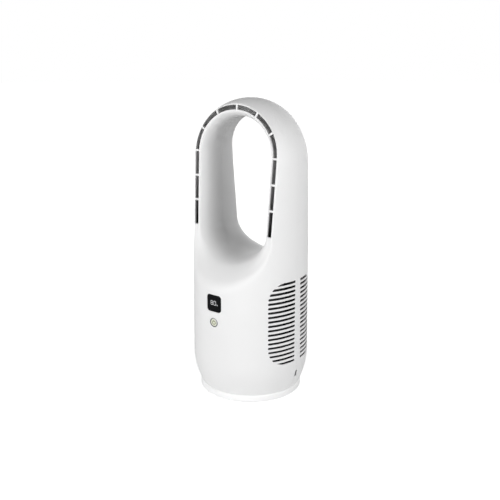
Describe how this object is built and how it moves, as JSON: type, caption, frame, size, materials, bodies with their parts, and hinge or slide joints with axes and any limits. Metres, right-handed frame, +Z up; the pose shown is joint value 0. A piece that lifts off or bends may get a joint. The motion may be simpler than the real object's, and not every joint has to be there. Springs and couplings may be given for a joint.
{
  "type": "bladeless desk fan",
  "caption": "Desk fan without visible blades: a round body with side air inlets and a hidden impeller carries a tall loop whose front rim has air outlet slots.",
  "frame": {"origin": "on the surface that the fan stands on, under the middle of the foot", "axes": "+Z up, -Y towards the front, where the display, the button and the air outlets are"},
  "size_m": [0.1306, 0.1306, 0.3295],
  "materials": {
    "white_shell": "satin",
    "foot_plastic": "satin",
    "display_lens": "gloss",
    "button_plastic": "satin",
    "satin_metal": "satin",
    "steel": "satin",
    "stator_iron": "matt",
    "copper_wire": "satin",
    "magnet": "matt",
    "circuit_board": "satin",
    "black_plastic": "matt",
    "grey_plastic": "matt",
    "cell_sleeve": "satin",
    "rubber": "matt",
    "foam": "matt",
    "red_wire": "satin",
    "black_wire": "satin"
  },
  "bodies": {
    "housing": {"front_shell": "white_shell", "rear_shell": "white_shell", "base_plate": "foot_plastic", "rubber_foot_1": "rubber", "rubber_foot_2": "rubber", "rubber_foot_3": "rubber", "rubber_foot_4": "rubber", "display_window": "display_lens", "button_bezel": "satin_metal", "battery_cell_1": "cell_sleeve", "battery_cell_2": "cell_sleeve", "battery_tray": "black_plastic", "battery_clamp": "black_plastic", "tray_screw_1": "steel", "tray_screw_2": "steel", "charging_board": "circuit_board", "charging_board_screw_1": "steel", "charging_board_screw_2": "steel", "usb_socket": "satin_metal", "control_board": "circuit_board", "control_board_screw_1": "steel", "control_board_screw_2": "steel", "control_board_screw_3": "steel", "control_board_screw_4": "steel", "display_module": "black_plastic", "switch_body": "grey_plastic", "shell_screw_1": "steel", "shell_screw_2": "steel", "shell_screw_3": "steel", "shell_screw_4": "steel", "base_screw_1": "steel", "base_screw_2": "steel", "base_screw_3": "steel", "base_screw_4": "steel", "bearing_lower": "steel", "bearing_upper": "steel", "motor_stator": "stator_iron", "stator_windings": "copper_wire", "impeller_shroud": "black_plastic", "guide_vanes": "black_plastic", "hub_cap": "black_plastic", "fan_duct": "black_plastic", "duct_seal": "foam", "duct_screw_1": "steel", "duct_screw_2": "steel", "duct_screw_3": "steel", "motor_lead": "black_wire", "battery_lead_red": "red_wire", "battery_lead_black": "black_wire", "board_lead": "black_wire"},
    "button": {"power_button": "button_plastic"},
    "plunger": {"switch_plunger": "black_plastic"},
    "rotor": {"impeller": "grey_plastic", "rotor_cup": "steel", "magnet_ring": "magnet", "motor_shaft": "steel"}
  },
  "joints": [
    {"name": "button_press", "type": "slide", "parent": "housing", "child": "button", "axis": [0, 1, 0], "range_m": [0, 0.0008], "stiffness_N_per_m": 1200},
    {"name": "plunger_press", "type": "slide", "parent": "housing", "child": "plunger", "axis": [0, 1, 0], "range_m": [0, 0.0008]},
    {"name": "impeller_spin", "type": "hinge", "parent": "housing", "child": "rotor", "pos_m": [0, 0, 0.066], "axis": [0, 0, 1], "continuous": true}
  ],
  "couplings": [
    {"joint": "plunger_press", "follows": "button_press", "ratio": 1}
  ]
}
